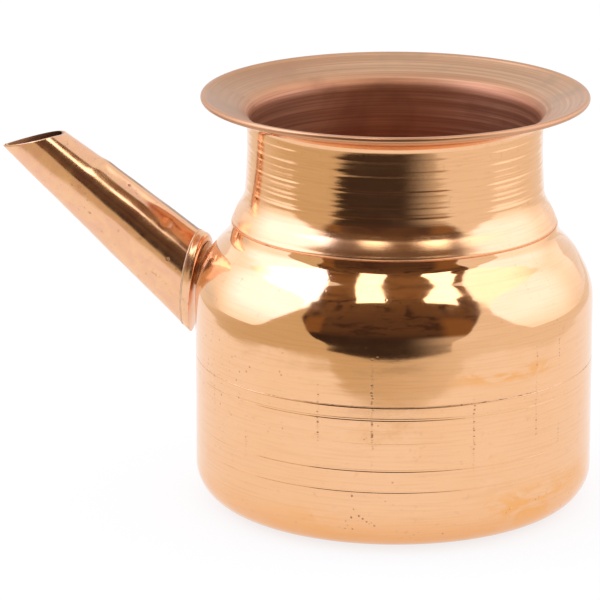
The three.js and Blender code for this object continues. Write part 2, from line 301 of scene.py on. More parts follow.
def turned_copper(name, rough=0.07, brushed=0.5, tarnish=0.5, pits=1.0, columns=1.0, base=COPPER,
                  streak_bump=0.000006, stain=0.35, foot=False, patches=(), zoned=False, ripple=0.5):
    """Polished copper sheet, turned about Z: fine brushed lines round the pot, tarnish, pits; with foot, painted shade
    towards the floor.
    """
    m, nt, bsdf = new_material(name)
    k = Nodes(nt)
    x, y, z = k.xyz()
    ang = k.math("ARCTAN2", y, x)
    arc = k.math("MULTIPLY", ang, 0.05)                      # metres round a 50 mm radius
    # brushed lines: long along the arc, fine along z
    around = k.combine(k.math("MULTIPLY", arc, 14.0), k.math("MULTIPLY", z, 5200.0), 0.0)
    brush = k.noise(around, 1.0, 3.0, 0.6)
    around2 = k.combine(k.math("MULTIPLY", arc, 60.0), k.math("MULTIPLY", z, 1700.0), 7.0)
    brush2 = k.noise(around2, 1.0, 2.0, 0.5)
    cloud = k.noise(k.mapping(k.coord, (1, 1, 1.3)), 38.0, 4.0, 0.62, 0.6)
    cloud2 = k.noise(k.mapping(k.coord, (1, 1, 2.2), (3.1, 1.7, 0.4)), 95.0, 3.0, 0.6, 0.8)
    fine = k.noise(k.coord, 900.0, 2.0, 0.5)
    tar = k.math("MULTIPLY", k.range(cloud, 0.55, 0.74), k.range(cloud2, 0.42, 0.66))
    tar = k.math("MULTIPLY", tar, tarnish, clamp=True)
    for centre, spread, height, tall, amount in patches:
        da = k.math("ABSOLUTE", k.math("SUBTRACT", ang, math.radians(centre)))
        dz = k.math("ABSOLUTE", k.math("SUBTRACT", z, height))
        spot = k.math("MULTIPLY", k.range(da, math.radians(spread) * 0.2, math.radians(spread), 1.0, 0.0),
                      k.range(dz, tall * 0.1, tall, 1.0, 0.0))
        blotch = k.math("ADD", k.range(cloud2, 0.40, 0.56), k.math("MULTIPLY", k.range(brush2, 0.4, 0.7), 0.25))
        tar = k.math("MAXIMUM", tar, k.math("MULTIPLY", k.math("MULTIPLY", spot, blotch), amount, clamp=True))
    col = k.mix(k.range(cloud, 0.3, 0.7), base, COPPER_PINK)
    col = k.mix(k.math("MULTIPLY", k.range(brush2, 0.45, 0.70), 0.28), col, (0.78, 0.42, 0.22))
    if foot:
        # painted shade: the lowest 13 mm are tinted darker orange-brown, standing in for the shaded floor that the
        # wall reflects near the contact
        near = k.range(z, 0.013, 0.001)
        col = k.mix(k.math("MULTIPLY", near, k.math("MULTIPLY_ADD", cloud2, 0.5, 0.45)), col, (0.86, 0.40, 0.145))
    col = k.mix(tar, col, TARNISH)
    # stains: faint brownish flecks
    fleck = k.math("MULTIPLY", k.range(k.noise(k.coord, 420.0, 3.0, 0.7), 0.60, 0.74), stain, clamp=True)
    col = k.mix(fleck, col, (0.70, 0.36, 0.19))
    # columns of small pits, up and down the sheet
    line = None
    sway = k.noise(k.combine(k.math("MULTIPLY", z, 420.0), 3.0, 1.0), 1.0, 2.0, 0.6)
    ang2 = k.math("ADD", ang, k.math("MULTIPLY_ADD", sway, 0.030, -0.015))
    for c in COLUMNS:
        d = k.math("ABSOLUTE", k.math("SUBTRACT", ang2, math.radians(c)))
        one = k.range(d, 0.002, 0.0080, 1.0, 0.0)
        line = one if line is None else k.math("MAXIMUM", line, one)
    dotn = k.noise(k.combine(k.math("MULTIPLY", ang, 9.0), k.math("MULTIPLY", z, 1900.0), 2.0), 1.0, 1.0, 0.5)
    dots = k.range(dotn, 0.52, 0.64)
    ext = k.range(k.noise(k.combine(k.math("MULTIPLY", ang, 6.0), k.math("MULTIPLY", z, 70.0), 5.0), 1.0, 1.0, 0.5), 0.42, 0.60)
    ext = k.math("MULTIPLY", ext, k.range(z, 0.018, 0.027))
    ext = k.math("MULTIPLY", ext, k.range(z, 0.046, 0.053, 1.0, 0.30))
    column = k.math("MULTIPLY", k.math("MULTIPLY", line, dots), ext)
    faint = k.math("MULTIPLY", k.math("MULTIPLY", line, ext), 0.07)
    column = k.math("MULTIPLY", k.math("MAXIMUM", column, faint), columns, clamp=True)
    # scattered pits
    vp = k.voronoi(k.coord, 620.0)
    pit = k.range(vp.outputs["Distance"], 0.10, 0.24, 1.0, 0.0)
    where = k.math("MULTIPLY", k.range(k.noise(k.coord, 60.0, 2.0, 0.5), 0.56, 0.68),
                   k.range(k.noise(k.coord, 230.0, 1.0, 0.5), 0.50, 0.60))
    lefts = k.range(k.math("ABSOLUTE", k.math("SUBTRACT", ang, math.radians(-128.0))), 0.25, 0.55, 0.8, 0.0)
    lefts = k.math("MULTIPLY", k.math("MULTIPLY", lefts, k.range(z, 0.026, 0.032)), k.range(z, 0.046, 0.052, 1.0, 0.0))
    lefts = k.math("MULTIPLY", lefts, k.range(k.noise(k.coord, 330.0, 1.0, 0.5), 0.48, 0.56))
    where = k.math("MAXIMUM", where, lefts)
    pit = k.math("MULTIPLY", k.math("MULTIPLY", pit, where), pits, clamp=True)
    holes = k.math("MAXIMUM", column, pit)
    col = k.mix(k.math("MULTIPLY", holes, 0.75), col, (0.30, 0.13, 0.08))
    if foot:
        # painted shade: a darker orange-brown line along the bottom edge, where the floor contact is shaded
        col = k.mix(k.range(z, 0.0016, 0.0004, 0.0, 0.75), col, (0.55, 0.22, 0.08))
    # roughness
    ro = k.math("MULTIPLY_ADD", brush, 0.05 * brushed, rough)
    ro = k.math("ADD", ro, k.math("MULTIPLY", k.range(cloud2, 0.4, 0.75), 0.05))
    ro = k.math("ADD", ro, k.math("MULTIPLY", tar, 0.10))
    ro = k.math("ADD", ro, k.math("MULTIPLY", holes, k.range(z, 0.046, 0.053, 0.30, 0.04)))
    ro = k.math("ADD", ro, k.math("MULTIPLY", fine, 0.02))
    if zoned:
        # the unpolished inner face: satin lip and flare, dark tarnished throat
        att = nt.nodes.new("ShaderNodeAttribute")
        att.attribute_name = "zone"
        zone = att.outputs["Fac"]
        rad = k.math("SQRT", k.math("ADD", k.math("MULTIPLY", x, x), k.math("MULTIPLY", y, y)))
        rings = k.noise(k.combine(k.math("MULTIPLY", arc, 10.0), k.math("MULTIPLY", rad, 1500.0), k.math("MULTIPLY", z, 1300.0)), 1.0, 3.0, 0.6)
        grey = k.noise(k.coord, 55.0, 3.0, 0.6, 0.4)
        flare = k.mix(k.range(rings, 0.35, 0.68), FLARE_DARK, FLARE_LIGHT)
        flare = k.mix(k.math("MULTIPLY", k.range(grey, 0.48, 0.66), 0.55), flare, (0.42, 0.275, 0.175))
        flare = k.mix(k.math("MULTIPLY", k.range(cloud2, 0.52, 0.68), 0.35), flare, (0.62, 0.30, 0.20))
        # painted shade: the flare's half towards -166 degrees, its left side, is painted darker brown as the shaded
        # side
        side = k.math("DIVIDE", k.math("ADD", k.math("MULTIPLY", x, math.cos(math.radians(-166.0))),
                                       k.math("MULTIPLY", y, math.sin(math.radians(-166.0)))), rad)
        side = k.math("MULTIPLY", k.range(side, 0.0, 0.9), k.math("MULTIPLY_ADD", grey, 0.7, 0.25), clamp=True)
        flare = k.mix(side, flare, (0.42, 0.215, 0.115))
        flare = k.mix(k.range(rad, 0.0464, 0.0476, 0.0, 0.55), flare, (0.60, 0.29, 0.145))
        throat = k.mix(k.range(rings, 0.35, 0.70), THROAT_DARK, THROAT_LIGHT)
        throat = k.mix(k.math("MULTIPLY", k.range(grey, 0.45, 0.70), 0.5), throat, (0.30, 0.12, 0.07))
        z1 = k.range(zone, 0.0, 1.0, smooth=False)
        z2 = k.range(zone, 1.0, 2.0, smooth=False)
        col = k.mix(z2, k.mix(z1, col, flare), throat)
        satin = k.math("MULTIPLY_ADD", rings, 0.10, 0.28)
        satin = k.math("ADD", satin, k.math("MULTIPLY", z2, 0.16))
        # the band under the neck is less bright than the neck
        ro = k.math("ADD", ro, k.range(z, 0.0775, 0.0755, 0.0, 0.085))
        ro = k.math("ADD", k.math("MULTIPLY", ro, k.math("SUBTRACT", 1.0, z1)), k.math("MULTIPLY", satin, z1))
    k.link(col, bsdf.inputs["Base Color"])
    k.link(ro, bsdf.inputs["Roughness"])
    # bump
    n1 = k.bump(brush, streak_bump, brushed)
    n2 = k.bump(k.math("SUBTRACT", 1.0, holes), 0.00004, 0.35, n1)
    n3 = k.bump(cloud2, 0.00006, ripple, n2)
    k.link(n3, bsdf.inputs["Normal"])
    return m


def worked_copper(name, rough=0.10, base=COPPER, tarnish=0.5, bore=False, dent=0.5):
    """Hand-worked copper sheet: planished surface, long drawing marks, small dents and stains."""
    m, nt, bsdf = new_material(name)
    k = Nodes(nt)
    x, y, z = k.xyz()
    # along the spout / across the spout coordinates
    c, s = math.cos(math.radians(38.2)), math.sin(math.radians(38.2))
    u = k.math("SUBTRACT", k.math("MULTIPLY", x, c), k.math("MULTIPLY", z, s))
    w = k.math("ADD", k.math("MULTIPLY", x, s), k.math("MULTIPLY", z, c))
    flow = k.combine(k.math("MULTIPLY", u, 60.0), k.math("MULTIPLY", w, 1400.0), k.math("MULTIPLY", y, 1400.0))
    draw = k.noise(flow, 1.0, 3.0, 0.6)
    cloud = k.noise(k.coord, 60.0, 4.0, 0.6, 0.5)
    cloud2 = k.noise(k.coord, 170.0, 3.0, 0.6, 0.7)
    fine = k.noise(k.coord, 1100.0, 2.0, 0.5)
    dents = k.noise(k.coord, 130.0, 1.0, 0.4)
    tar = k.math("MULTIPLY", k.range(cloud, 0.50, 0.72), tarnish, clamp=True)
    col = k.mix(k.range(cloud2, 0.3, 0.7), base, COPPER_PINK)
    col = k.mix(tar, col, (0.84, 0.46, 0.25))
    fleck = k.math("MULTIPLY", k.range(k.noise(k.coord, 520.0, 3.0, 0.7), 0.60, 0.72), 0.5, clamp=True)
    col = k.mix(fleck, col, (0.55, 0.27, 0.15))
    vp = k.voronoi(k.coord, 300.0)
    pit = k.math("MULTIPLY", k.range(vp.outputs["Distance"], 0.08, 0.20, 1.0, 0.0),
                 k.range(k.noise(k.coord, 180.0, 1.0, 0.5), 0.55, 0.64))
    col = k.mix(k.math("MULTIPLY", pit, 0.7), col, (0.25, 0.12, 0.08))
    ro = k.math("MULTIPLY_ADD", draw, 0.06, rough)
    if bore:
        att = nt.nodes.new("ShaderNodeAttribute")
        att.attribute_name = "inside"
        inside = att.outputs["Fac"]
        att2 = nt.nodes.new("ShaderNodeAttribute")
        att2.attribute_name = "ridge"
        # painted dark reflection: the line along the ridge is darkened to brown-black
        scale = k.math("MULTIPLY", att2.outputs["Fac"], k.math("MULTIPLY_ADD", k.range(cloud2, 0.35, 0.6), 0.35, 0.5), clamp=True)
        col = k.mix(scale, col, (0.24, 0.13, 0.08))
        ro = k.math("ADD", ro, k.math("MULTIPLY", scale, 0.15))
        # painted shade: the inner face of the spout tube is painted dark brown, for the shade inside the narrow bore
        col = k.mix(inside, col, k.mix(cloud, (0.16, 0.075, 0.04), (0.30, 0.14, 0.07)))
        ro = k.math("ADD", ro, k.math("MULTIPLY", inside, 0.30))
    k.link(col, bsdf.inputs["Base Color"])
    ro = k.math("ADD", ro, k.math("MULTIPLY", k.range(cloud2, 0.4, 0.75), 0.07))
    ro = k.math("ADD", ro, k.math("MULTIPLY", pit, 0.3))
    ro = k.math("ADD", ro, k.math("MULTIPLY", fine, 0.03))
    k.link(ro, bsdf.inputs["Roughness"])
    n1 = k.bump(draw, 0.000008, 0.6)
    n2 = k.bump(dents, 0.00035, dent, n1)
    n3 = k.bump(k.math("SUBTRACT", 1.0, pit), 0.00006, 0.6, n2)
    k.link(n3, bsdf.inputs["Normal"])
    return m


def braze_metal(name, color=(0.62, 0.40, 0.24), dark=(0.22, 0.12, 0.08), rough=0.32, amount=0.5, dark_at=None):
    """Filler metal: dull, pitted, darker where flux was left."""
    m, nt, bsdf = new_material(name)
    k = Nodes(nt)
    n = k.noise(k.coord, 700.0, 4.0, 0.65)
    big = k.noise(k.coord, 70.0, 2.0, 0.5)
    vp = k.voronoi(k.coord, 1400.0)
    pit = k.range(vp.outputs["Distance"], 0.15, 0.32, 1.0, 0.0)
    patch = k.range(big, 0.50, 0.62)
    if dark_at is not None:
        x, y, z = k.xyz()
        off = k.math("ABSOLUTE", k.math("SUBTRACT", k.math("ARCTAN2", y, x), math.radians(dark_at[0])))
        patch = k.math("MAXIMUM", patch, k.range(off, math.radians(dark_at[1]) * 0.6, math.radians(dark_at[1]), 1.0, 0.0))
    darkness = k.math("MULTIPLY", k.math("MAXIMUM", k.range(n, 0.45, 0.66), pit), patch)
    darkness = k.math("MULTIPLY", darkness, amount, clamp=True)
    col = k.mix(k.range(n, 0.3, 0.7), color, (color[0] * 1.25, color[1] * 1.2, color[2] * 1.15))
    col = k.mix(darkness, col, dark)
    k.link(col, bsdf.inputs["Base Color"])
    ro = k.math("MULTIPLY_ADD", n, 0.2, rough)
    ro = k.math("ADD", ro, k.math("MULTIPLY", darkness, 0.25))
    k.link(ro, bsdf.inputs["Roughness"])
    n1 = k.bump(n, 0.00012, 0.8)
    n2 = k.bump(k.math("SUBTRACT", 1.0, pit), 0.00006, 0.6, n1)
    k.link(n2, bsdf.inputs["Normal"])
    return m


def plain_material(name, color, rough=0.9, emit=None):
    m = bpy.data.materials.new(name)
    m.use_nodes = True
    b = m.node_tree.nodes["Principled BSDF"]
    b.inputs["Base Color"].default_value = (*color, 1.0)
    b.inputs["Roughness"].default_value = rough
    b.inputs["Specular IOR Level"].default_value = 0.0
    if emit is not None:
        b.inputs["Base Color"].default_value = (0, 0, 0, 1)
        b.inputs["Emission Color"].default_value = (*color, 1.0)
        b.inputs["Emission Strength"].default_value = emit
    return m


def set_material(ob, mat):
    ob.data.materials.clear()
    ob.data.materials.append(mat)


# ---------------------------------------------------------------- vessel profile (mm)
SEAM_Z = 37.6
BAND_Z = 71.6
RIM_Z = 104.1
RIM_R = 48.45
SHEET = 0.8

# incised lines of the wall: (height, depth, width)
LINES = [(34.25, 0.034, 0.19), (21.3, 0.036, 0.19), (15.95, 0.034, 0.18), (28.4, 0.007, 0.2)]


def groove(z, at, depth, width):
    t = (z - at) / width
    return -depth * np.exp(-t * t * 2.2) + 0.45 * depth * np.exp(-((t - 1.25) ** 2) * 2.0) + 0.25 * depth * np.exp(-((t + 1.3) ** 2) * 2.0)


def wall_offset(z):
    o = np.zeros_like(z)
    for at, depth, width in LINES:
        o += groove(z, at, depth, width)
    o += 0.006 * noise1(z, 2.6, 11) + 0.0015 * noise1(z, 0.9, 12) + 0.02 * noise1(z, 11.0, 13)
    return o


def hand_wobble(amount):
    def f(r, z, a):
        w = (np.sin(2 * a + 0.7) * 0.5 + np.sin(3 * a + z * 0.05 + 1.1) * 0.35 + np.sin(5 * a - z * 0.08 + 2.3) * 0.15)
        return amount * w, 0.0 * z
    return f


def cup_section():
    c = 9.3
    arc = [(R - c + c * math.sin(t), c - c * math.cos(t)) for t in np.linspace(0, math.pi / 2, 26)]
    zs = np.arange(c + 0.25, SEAM_Z - 0.18, 0.24)
    for at, _, width in LINES:
        zs = np.concatenate([zs, np.arange(at - 0.55, at + 0.55, 0.055)])
    zs = np.unique(np.round(zs, 3))
    zs = zs[np.r_[True, np.diff(zs) > 0.03]]
    wall = np.stack([R + wall_offset(zs) * np.clip((zs - c) / 1.5, 0, 1), zs], 1)
    edge = [(R - 0.05, SEAM_Z - 0.12), (R - 0.30, SEAM_Z - 0.06), (R - SHEET, SEAM_Z - 0.06)]
    lap = [(49.0, SEAM_Z + 0.1), (49.0, SEAM_Z + 4.1), (48.85, SEAM_Z + 4.2), (48.25, SEAM_Z + 4.2), (48.1, SEAM_Z + 4.1),
           (48.1, SEAM_Z - 1.3), (48.4, SEAM_Z - 2.0), (49.2, SEAM_Z - 3.0)]
    zin = np.arange(SEAM_Z - 4.0, c, -1.2)
    inner = [(R - SHEET, z) for z in zin]
    ic = c - SHEET
    arc_in = [(R - c + ic * math.sin(t), c - ic * math.cos(t)) for t in np.linspace(math.pi / 2, 0, 20)]
    base_rings = [(r, 0.0) for r in (12.0, 24.0, 34.0)]
    inner_base = [(r, SHEET) for r in (34.0, 24.0, 12.0)]
    return [(0, 0)] + base_rings + arc + wall.tolist() + edge + lap + inner + arc_in + inner_base + [(0, SHEET)]


def offset_in(curve, t):
    return curve - normals2(curve) * t


def shoulder_curve():
    pts = [(R, SEAM_Z + 0.12), (R, 42.0), (R, 47.0), (R, 51.2), (49.88, 54.3), (49.4, 56.5), (48.62, 58.7), (47.5, 61.0),
           (46.0, 63.6), (44.6, 65.35), (43.2, 66.8), (42.0, 68.25), (41.25, 69.7), (40.95, 71.0), (40.85, 71.45)]
    return catmull(pts, 0.22)


def shoulder_section():
    c = shoulder_curve()
    c[:, 0] += 0.004 * noise1(c[:, 1], 2.4, 21) * np.clip((c[:, 1] - 38.5) / 2, 0, 1) + 0.0008 * noise1(c[:, 1], 0.9, 22)
    inner = offset_in(shoulder_curve()[::5], SHEET)
    inner = inner[inner[:, 1] > SEAM_Z + 0.2][::-1]
    lip0 = [(R - 0.25, SEAM_Z + 0.05), (R - SHEET + 0.05, SEAM_Z + 0.05)]
    return c.tolist() + [(40.5, 71.5)] + inner.tolist() + lip0[::-1]


def neck_outer():
    pts = [(40.45, BAND_Z + 0.0), (40.62, BAND_Z + 0.18), (40.64, BAND_Z + 0.45), (40.36, 72.7), (40.05, 73.45), (39.7, 74.2),
           (39.38, 74.8), (39.03, 75.4), (38.68, 76.0), (38.36, 76.6), (38.0, 77.4), (37.72, 78.2), (37.5, 79.0), (37.42, 79.6),
           (37.3, 81.2), (37.1, 83.8), (36.96, 87.0), (36.93, 90.0), (36.93, 93.0), (36.95, 96.0), (37.04, 97.5), (37.4, 98.55),
           (38.55, 99.5), (40.9, 100.4), (43.6, 101.3), (46.2, 102.05)]
    c = catmull(pts, 0.15)
    z = c[:, 1]
    near = np.clip((z - 79.2) / 1.5, 0.10, 1) * np.clip((98.3 - z) / 1.2, 0.05, 1)
    rows = (0.034 * noise1(z, 2.1, 31) + 0.038 * noise1(z, 1.15, 32) + 0.030 * noise1(z, 0.6, 33)) * near
    rows += 0.014 * noise1(z, 0.8, 35) * np.clip((z - 72.2) / 0.5, 0, 1) * np.clip((80 - z) / 1.0, 0, 1)
    rows += 0.05 * noise1(z, 6.0, 34) * np.clip((z - 80.0) / 4, 0, 1) * np.clip((96 - z) / 4, 0, 1)
    n = normals2(c)
    return c + n * rows[:, None]


def neck_section():
    out = neck_outer()
    lip = catmull([(46.2, 102.05), (46.75, 102.30), (47.2, 102.45), (47.75, 102.52), (48.2, 102.72), (48.42, 103.1), (48.45, 103.45),
                   (48.33, 103.8), (48.0, 104.05), (47.55, 104.1), (47.1, 103.98), (46.75, 103.75)], 0.2)
    inn = catmull([(46.6, 103.62), (45.6, 103.1), (43.6, 102.25), (41.0, 101.3), (38.7, 100.35), (37.0, 99.2), (36.3, 97.7), (36.15, 95.8),
                   (36.12, 92.0), (36.12, 88.0), (36.25, 84.0), (36.5, 80.6), (36.7, 79.0), (37.2, 77.3), (37.8, 76.0), (38.5, 74.7),
                   (39.05, 73.6), (39.4, 72.7), (39.5, 71.9)], 0.36)
    s = np.cumsum(np.r_[0, np.linalg.norm(np.diff(inn, axis=0), axis=1)])
    ni = normals2(inn)
    inn = inn + ni * (0.007 * noise1(s, 1.7, 41) + 0.004 * noise1(s, 0.8, 42) + 0.02 * noise1(s, 5.0, 43))[:, None]
    foot = [(39.0, 71.4), (38.95, 70.6), (38.95, 68.5), (39.1, 68.3), (39.6, 68.3), (39.75, 68.5), (39.75, BAND_Z - 0.2), (39.9, BAND_Z - 0.05)]
    zone = [float(0.55 * np.clip((q - 98.9) / 1.0, 0, 1)) for q in out[:, 1]] + [1.0] * (len(lip) - 1)
    zone += [float(np.clip(1.0 + (101.0 - q) / 2.2, 1.0, 2.0)) for q in inn[:, 1]] + [2.0] * (len(foot) - 1) + [0.0]
    return out.tolist() + lip[1:].tolist() + inn.tolist() + foot, zone


# ---------------------------------------------------------------- build the vessel
polished = turned_copper("polished_copper_wall", rough=0.085, brushed=0.6, tarnish=0.5, pits=1.0, columns=1.0, foot=True, ripple=0.3,
                         patches=((-31.0, 26.0, 0.0085, 0.0085, 0.95), (-12.0, 20.0, 0.012, 0.006, 0.6), (-100.0, 16.0, 0.0065, 0.006, 0.45)))
polished_top = turned_copper("polished_copper_shoulder", rough=0.05, brushed=0.25, tarnish=0.2, pits=0.6, columns=0.8,
                             streak_bump=0.000002, stain=0.2, ripple=0.08, patches=((-40.0, 27.0, 0.0435, 0.0030, 0.9),))
neck_mat = turned_copper("turned_copper_neck", rough=0.085, brushed=0.9, tarnish=0.25, pits=0.5, columns=0.7,
                         streak_bump=0.000012, stain=0.3, zoned=True)

cup = lathe_axis("cup", cup_section(), 288)
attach(cup, "root"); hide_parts("lower_cup")
set_material(cup, polished)

shoulder = lathe("shoulder", shoulder_section(), 288, hand_wobble(0.03))
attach(shoulder, "root"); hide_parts("shoulder_shell")
set_material(shoulder, polished_top)

neck_points, neck_zone = neck_section()
neck = lathe("neck", neck_points, 256, hand_wobble(0.04))
zone_layer = neck.data.attributes.new("zone", "FLOAT", "POINT")
zone_layer.data.foreach_set("value", np.repeat(np.array(neck_zone, dtype=np.float32), 256))
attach(neck, "root"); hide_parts("neck_and_mouth")
set_material(neck, neck_mat)

seam_mat = braze_metal("belly_seam_braze", color=(0.70, 0.42, 0.25), dark=(0.10, 0.05, 0.03), rough=0.3, amount=1.0, dark_at=(-41.0, 15.0))


def seam_ring(name, r, z, half, out, seed, segments=720):
    a = np.linspace(0, 2 * math.pi, segments, endpoint=False)
    k = a * r
    wave = 0.5 + 0.5 * noise1(k, 3.0, seed)
    fine = noise1(k, 0.8, seed + 1)
    rings = []
    section = [(-0.9, -half), (-0.06, -half), (0.6, -0.45 * half), (1.0, 0.05 * half), (0.55, 0.5 * half), (-0.06, half), (-0.9, half)]
    for dr, dz in section:
        o = np.where(dr > 0, out * (0.35 + 0.65 * wave + 0.25 * fine), 1.0)
        rr = r + dr * np.where(dr > 0, o, 1.0)
        rings.append(np.stack([rr * np.cos(a), rr * np.sin(a), z + dz + 0.02 * fine * (abs(dr) < 0.5)], 1))
    return grid_object(name, rings, True, True)


belly_seam = seam_ring("belly_seam", R - 0.02, SEAM_Z, 0.17, 0.05, 51)
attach(belly_seam, "root"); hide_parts("body_seam_braze")
set_material(belly_seam, seam_mat)

neck_seam = seam_ring("neck_seam", 40.60, BAND_Z - 0.08, 0.16, 0.03, 61)
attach(neck_seam, "root"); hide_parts("neck_seam_braze")
set_material(neck_seam, braze_metal("neck_seam_braze", color=(0.62, 0.30, 0.15), dark=(0.20, 0.07, 0.04), rough=0.3, amount=0.7))


# ---------------------------------------------------------------- spout
TIP = np.array([-95.95, 0.0, 85.85])
ROOT = np.array([-52.35, 0.0, 51.9])
TIP_R, ROOT_R = 7.2, 11.2
FLAT, CREASE = 0.82, 0.42
TIP_DIP, ROOT_LEAN = 15.6, -10.0
SKIRT = 2.2
U = ROOT - TIP
LEN = float(np.linalg.norm(U))
U = U / LEN
E = np.array([0.0, 1.0, 0.0])
W = np.cross(U, E)
W /= np.linalg.norm(W)
if W[2] < 0:
    W = -W
TIP_N = np.array([-math.sin(math.radians(TIP_DIP)), 0, math.cos(math.radians(TIP_DIP))])
ROOT_N = np.array([math.cos(math.radians(ROOT_LEAN)), 0, math.sin(math.radians(ROOT_LEAN))])
K = (ROOT_R - TIP_R) / LEN


def cone_dir(phi):
    phi = np.asarray(phi, float)
    pinch = 1 - CREASE * ((1 - np.cos(phi)) / 2) ** 2
    return np.cos(phi)[..., None] * W + (FLAT * np.sin(phi) * pinch)[..., None] * E


def to_plane(phi, d, at, n):
    """Distance along the axis at which the generator at angle phi meets a plane."""
    dirs = cone_dir(phi)
    start = TIP + (TIP_R + np.asarray(d))[..., None] * dirs if np.ndim(d) else TIP + (TIP_R + d) * dirs
    step = U + K * dirs
    return ((at - start) @ n) / (step @ n)


def cone_point(phi, d, s):
    dirs = cone_dir(phi)
    rad = TIP_R + K * np.asarray(s, float) + d
    return TIP + np.asarray(s, float)[..., None] * U + rad[..., None] * dirs


def spout_dent(phi, s):
    """Hand-made unevenness of the rolled tube, mm, along its outward direction."""
    top = np.exp(-((phi / 0.62) ** 2))
    step = 1.0 / (1.0 + np.exp((s - 17.2) / 0.45))
    o = -top * step * (0.40 + 0.045 * np.clip(17.0 - s, 0, 17))
    o += 0.12 * top * np.exp(-(((s - 19.5) / 2.0) ** 2))
    o += 0.05 * np.sin(s * 0.21 + 0.6) * np.cos(phi * 2.0 + 0.4)
    o += 0.025 * np.sin(s * 0.47 + 1.9) * np.cos(phi * 3.0 - 1.1)
    o -= 0.22 * np.exp(-(((s - 41.0) / 1.3) ** 2)) * np.exp(-(((phi + 0.55) / 0.16) ** 2))
    return o


def spout_tube():
    n = 144
    open_half = math.pi * 0.045
    phi = np.linspace(-(math.pi - open_half), math.pi - open_half, n)
    sT, sR = to_plane(phi, 0.0, TIP, TIP_N), to_plane(phi, 0.0, ROOT, ROOT_N)
    sTi, sRi = to_plane(phi, -SHEET, TIP, TIP_N), to_plane(phi, -SHEET, ROOT, ROOT_N)
    rings = []
    m = 110
    for t in np.linspace(0, 1, m):
        s = sT + (sR - sT) * t
        d = spout_dent(phi, s)
        if t == 0:
            d = d - 0.12
        rings.append(cone_point(phi, d, s))
    rings.insert(1, cone_point(phi, spout_dent(phi, sT + 0.15), sT + 0.15))
    for t in np.linspace(1, 0, m):
        s = sRi + (sTi - sRi) * (1 - t)
        d = spout_dent(phi, s) - SHEET
        if t == 0:
            d = d + 0.1
        rings.append(cone_point(phi, d, s))
    ob = grid_object("spout_tube_sheet", rings, False, True)
    # mark the bore's faces; the material paints them dark as shade
    inner = np.zeros((len(rings), n), dtype=np.float32)
    inner[m + 1:, :] = 1.0
    layer = ob.data.attributes.new("inside", "FLOAT", "POINT")
    layer.data.foreach_set("value", inner.ravel())
    # painted dark reflection: a dark line along the far side of the ridge, towards the cap
    along = np.zeros((len(rings), n))
    along[1:m + 1, :] = (sT[None, :] + (sR - sT)[None, :] * np.linspace(0, 1, m)[:, None])
    edge = np.clip((phi + 0.02 - 0.05 * noise1(phi * 8, 1.0, 77)) / 0.10, 0, 1) * np.clip((1.0 - phi) / 0.2, 0, 1)
    ridge = edge[None, :] * np.clip((along - 17.5) / 2.0, 0, 1) * (1 - inner)
    layer = ob.data.attributes.new("ridge", "FLOAT", "POINT")
    layer.data.foreach_set("value", ridge.astype(np.float32).ravel())
    return ob


tube = spout_tube()
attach(tube, "root"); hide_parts("spout_tube")
spout_mat = worked_copper("worked_copper_spout", rough=0.10, tarnish=0.35, bore=True, dent=0.18,
                          base=(0.85, 0.470, 0.298))
set_material(tube, spout_mat)


def spout_seam():
    open_half = math.pi * 0.045
    cols = np.linspace(-1, 1, 9)
    phi = math.pi + cols * open_half * 1.05
    sT, sR = to_plane(phi, 0.0, TIP, TIP_N), to_plane(phi, 0.0, ROOT, ROOT_N)
    rings = []
    for t in np.linspace(0, 1, 160):
        s = sT + 0.25 + (sR - sT - 0.3) * t
        bead = 0.14 * (1 - cols ** 2) * (1 + 0.5 * noise1(s, 1.4, 71)) - 0.02 + 0.02 * noise1(s * 1.0 + cols * 2, 0.7, 72)
        rings.append(cone_point(phi, bead + spout_dent(phi - 2 * math.pi, s), s))
    for t in np.linspace(1, 0, 160):
        s = sT + 0.25 + (sR - sT - 0.3) * t
        rings.append(cone_point(phi, -SHEET - 0.1 * (1 - cols ** 2) + spout_dent(phi - 2 * math.pi, s), s))
    return grid_object("spout_long_seam", rings, False, True)


seam_piece = spout_seam()
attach(seam_piece, "root"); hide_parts("spout_seam_braze")
spout_braze = braze_metal("spout_braze", color=(0.66, 0.44, 0.28), dark=(0.16, 0.09, 0.06), rough=0.34, amount=0.8)
set_material(seam_piece, spout_braze)


def plane_ring(phi, d, k):
    at = ROOT + ROOT_N * k
    s = to_plane(phi, d, at, ROOT_N)
    return cone_point(phi, d, s)


COLLAR_AT = np.array([-49.4, 0.0, 55.4])
COLLAR_TILT = math.radians(18)
COLLAR_D = np.array([-math.cos(COLLAR_TILT), 0.0, math.sin(COLLAR_TILT)])
COLLAR_UP = np.array([math.sin(COLLAR_TILT), 0.0, math.cos(COLLAR_TILT)])
COLLAR_R = 4.8


LAP_SEEN = 1.25   # lap of the cap that can be told from the tube, mm


